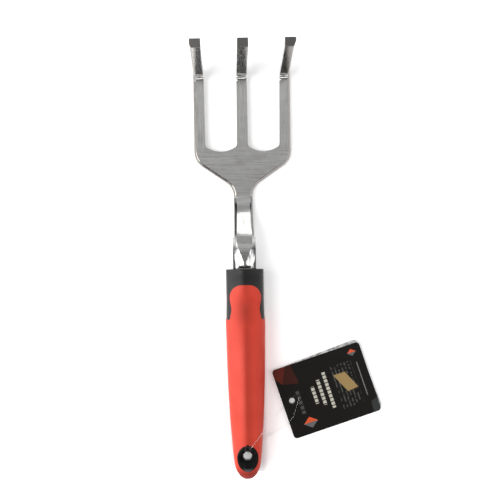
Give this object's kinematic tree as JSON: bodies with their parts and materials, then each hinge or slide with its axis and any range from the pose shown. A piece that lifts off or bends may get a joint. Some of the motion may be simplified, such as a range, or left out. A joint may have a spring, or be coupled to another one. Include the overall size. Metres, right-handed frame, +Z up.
{
  "type": "hand cultivator",
  "caption": "Hand cultivator: flat cast head with hooked tines on a swan neck, soft grip with a hang hole, and a folded swing tag on a thread loop.",
  "frame": {"origin": "under the middle of the tool's box, on the surface that the tool lies on", "axes": "+Y along the tool from the grip to the tines, +Z up, the way the tips point, +X to the right"},
  "size_m": [0.1344, 0.3046, 0.06],
  "materials": {
    "cast_aluminium": "belt-polished casting",
    "core_black": "moulded, hidden",
    "collar_black": "matte soft moulding",
    "grip_red": "matte soft moulding",
    "liner_black": "glossy, faceted",
    "tag_print": "printed black, satin",
    "tag_paper": "uncoated, cut edges",
    "nylon": "clear filament"
  },
  "bodies": {
    "tool": {"fork_head": "cast_aluminium", "handle_core": "core_black", "front_collar": "collar_black", "grip_sleeve": "grip_red", "hang_hole_liner": "liner_black"},
    "thread": {"tag_thread": "nylon", "thread_knot": "nylon"},
    "tag": {"tag_front_cover": "tag_print", "tag_leaf_upper": "tag_paper", "tag_leaf_lower": "tag_paper", "tag_back_cover": "tag_print"}
  },
  "joints": [
    {"name": "thread_swing", "type": "hinge", "parent": "tool", "child": "thread", "pos_m": [0, -0.136, 0.0143], "axis": [0, 0, 1], "range_deg": [-90, 0]},
    {"name": "tag_turn", "type": "hinge", "parent": "thread", "child": "tag", "pos_m": [0.0335, -0.0994, 0.0023], "axis": [0, 0, 1], "range_deg": [-12, 8]}
  ]
}
